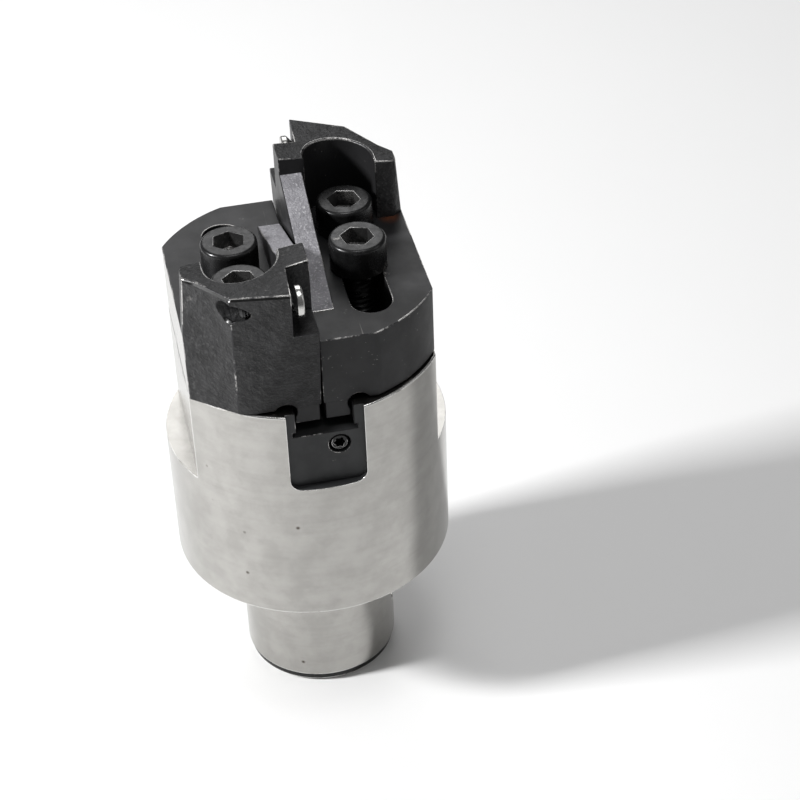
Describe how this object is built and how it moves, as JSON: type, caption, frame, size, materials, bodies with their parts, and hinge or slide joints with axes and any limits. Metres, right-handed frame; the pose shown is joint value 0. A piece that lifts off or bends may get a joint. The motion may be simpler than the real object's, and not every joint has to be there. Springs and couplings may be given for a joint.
{
  "type": "twin cutter boring head",
  "caption": "Rough boring head with a cylindrical modular spigot and sliding cartridges whose diameter is set by screws.",
  "frame": {"origin": "centre of the spigot's end face, where the tool stands", "axes": "+Z along the spindle axis towards the cutting end, +Y along the channel, the way the cartridge at +X slides out"},
  "size_m": [0.05, 0.0544, 0.0984],
  "materials": {
    "ground_steel": "ground",
    "black_oxide": "black oxide, satin",
    "screw_black": "black oxide, satin",
    "bright_steel": "bright"
  },
  "bodies": {
    "head_body": {"body": "ground_steel"},
    "cartridge_slide_right": {"cartridge_right": "black_oxide", "pusher_pin_right": "bright_steel"},
    "cartridge_slide_left": {"cartridge_left": "black_oxide", "pusher_pin_left": "bright_steel"},
    "clamp_right_1": {"cap_screw_right_1": "screw_black"},
    "clamp_right_2": {"cap_screw_right_2": "screw_black"},
    "clamp_left_1": {"cap_screw_left_1": "screw_black"},
    "clamp_left_2": {"cap_screw_left_2": "screw_black"},
    "adjuster_right": {"adjusting_screw_right": "screw_black"},
    "adjuster_left": {"adjusting_screw_left": "screw_black"},
    "insert_clamp_right": {"insert_screw_right": "bright_steel"},
    "insert_clamp_left": {"insert_screw_left": "bright_steel"}
  },
  "joints": [
    {"name": "cartridge_slide_right", "type": "slide", "parent": "head_body", "child": "cartridge_slide_right", "axis": [0, 1, 0], "range_m": [-0.001, 0.008]},
    {"name": "cartridge_slide_left", "type": "slide", "parent": "head_body", "child": "cartridge_slide_left", "axis": [0, -1, 0], "range_m": [-0.001, 0.008]},
    {"name": "cap_screw_turn_right_1", "type": "hinge", "parent": "head_body", "child": "clamp_right_1", "pos_m": [0.01065, -0.0021, 0.0848], "axis": [0, 0, 1], "range_deg": [0, 90]},
    {"name": "cap_screw_turn_right_2", "type": "hinge", "parent": "head_body", "child": "clamp_right_2", "pos_m": [0.01065, 0.0099, 0.0848], "axis": [0, 0, 1], "range_deg": [0, 90]},
    {"name": "cap_screw_turn_left_1", "type": "hinge", "parent": "head_body", "child": "clamp_left_1", "pos_m": [-0.01065, 0.0021, 0.0848], "axis": [0, 0, 1], "range_deg": [0, 90]},
    {"name": "cap_screw_turn_left_2", "type": "hinge", "parent": "head_body", "child": "clamp_left_2", "pos_m": [-0.01065, -0.0099, 0.0848], "axis": [0, 0, 1], "range_deg": [0, 90]},
    {"name": "adjusting_screw_turn_right", "type": "hinge", "parent": "cartridge_slide_right", "child": "adjuster_right", "pos_m": [0.0023, -0.019, 0.0641], "axis": [0, 1, 0], "range_deg": [-515, 4115]},
    {"name": "adjusting_screw_turn_left", "type": "hinge", "parent": "cartridge_slide_left", "child": "adjuster_left", "pos_m": [-0.0023, 0.019, 0.0641], "axis": [0, -1, 0], "range_deg": [-515, 4115]},
    {"name": "insert_screw_turn_right", "type": "hinge", "parent": "cartridge_slide_right", "child": "insert_clamp_right", "pos_m": [0.006, 0.0229, 0.0939], "axis": [-1, 0, 0], "range_deg": [0, 90]},
    {"name": "insert_screw_turn_left", "type": "hinge", "parent": "cartridge_slide_left", "child": "insert_clamp_left", "pos_m": [-0.006, -0.0229, 0.0939], "axis": [1, 0, 0], "range_deg": [0, 90]}
  ],
  "couplings": [
    {"joint": "adjusting_screw_turn_right", "follows": "cartridge_slide_right", "rad_per_m": 8976},
    {"joint": "adjusting_screw_turn_left", "follows": "cartridge_slide_left", "rad_per_m": 8976}
  ]
}
